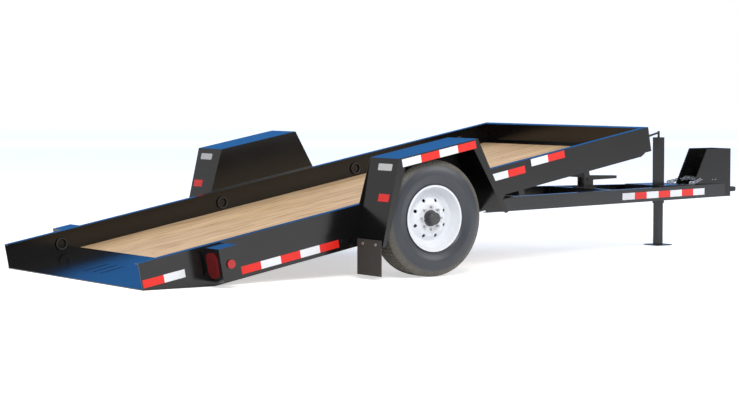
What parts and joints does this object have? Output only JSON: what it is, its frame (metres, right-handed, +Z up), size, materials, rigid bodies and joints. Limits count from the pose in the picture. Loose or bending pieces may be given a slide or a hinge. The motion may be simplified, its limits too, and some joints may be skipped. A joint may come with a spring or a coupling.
{
  "type": "tilt deck flatbed trailer",
  "caption": "Low flatbed trailer with a tilting plank deck, side rails, fenders, hinged tongue on a drop-leg jack, and ring hitch.",
  "frame": {"origin": "ground point below the middle of the whole trailer's length and width", "axes": "+X forward to the towing eye, +Y left, +Z up"},
  "size_m": [5.9521, 2.574, 0.9568],
  "materials": {
    "black_paint": "gloss",
    "tyre": "matte",
    "rim_white": "gloss",
    "zinc": "satin",
    "plank_wood": "sawn",
    "flap_rubber": "matte",
    "lens_red": "gloss",
    "cast_black": "painted",
    "tape_white": "reflective",
    "tape_red": "reflective"
  },
  "bodies": {
    "deck": {"axle_tube": "black_paint", "cross_members": "black_paint", "deck_planks": "plank_wood", "front_wall": "black_paint", "hinge_header": "black_paint", "latch_keeper": "black_paint", "left_axle_hanger": "black_paint", "left_fender": "black_paint", "left_hinge_ears": "black_paint", "left_hinge_pin": "black_paint", "left_lamp_box": "black_paint", "left_mud_flap": "flap_rubber", "left_side_marker": "lens_red", "left_side_rail": "black_paint", "left_stringer": "black_paint", "left_tail_lamp": "lens_red", "left_torsion_arm": "black_paint", "right_axle_hanger": "black_paint", "right_fender": "black_paint", "right_hinge_ears": "black_paint", "right_hinge_pin": "black_paint", "right_lamp_box": "black_paint", "right_mud_flap": "flap_rubber", "right_side_marker": "lens_red", "right_side_rail": "black_paint", "right_stringer": "black_paint", "right_tail_lamp": "lens_red", "right_torsion_arm": "black_paint", "tail_member": "black_paint", "tail_plate": "black_paint"},
    "right_wheel": {"right_tyre": "tyre", "right_rim": "rim_white", "right_hub": "black_paint", "right_lug_nuts": "zinc"},
    "left_wheel": {"left_tyre": "tyre", "left_rim": "rim_white", "left_hub": "black_paint", "left_lug_nuts": "zinc"},
    "tongue": {"right_tongue_beam": "black_paint", "left_tongue_beam": "black_paint", "right_hinge_knuckle": "black_paint", "left_hinge_knuckle": "black_paint", "tongue_ties": "black_paint", "coupler_post": "black_paint", "post_gussets": "black_paint", "towing_eye": "cast_black", "jack_tube": "black_paint", "jack_plate": "black_paint", "latch_stand": "black_paint"},
    "jack_foot_leg": {"jack_leg": "black_paint", "jack_foot": "black_paint"},
    "crank": {"jack_crank": "black_paint"},
    "lever": {"latch_lever": "black_paint"}
  },
  "joints": [
    {"name": "right_wheel_spin", "type": "hinge", "parent": "deck", "child": "right_wheel", "pos_m": [-0.9144, -1.137, 0.388], "axis": [0, 1, 0], "continuous": true},
    {"name": "left_wheel_spin", "type": "hinge", "parent": "deck", "child": "left_wheel", "pos_m": [-0.9144, 1.137, 0.388], "axis": [0, 1, 0], "continuous": true},
    {"name": "tongue_fold", "type": "hinge", "parent": "deck", "child": "tongue", "pos_m": [-0.07481, 0, 0.42], "axis": [0, -1, 0], "range_deg": [0, 10.67]},
    {"name": "jack_extend", "type": "slide", "parent": "tongue", "child": "jack_foot_leg", "axis": [0, 0, 1], "range_m": [0, 0.25]},
    {"name": "jack_crank_turn", "type": "hinge", "parent": "tongue", "child": "crank", "pos_m": [2.1656, 0, 0.845], "axis": [0, 0, 1], "continuous": true},
    {"name": "latch_open", "type": "hinge", "parent": "tongue", "child": "lever", "pos_m": [1.4156, 0, 0.541], "axis": [0, -1, 0], "range_deg": [0, 75]}
  ]
}
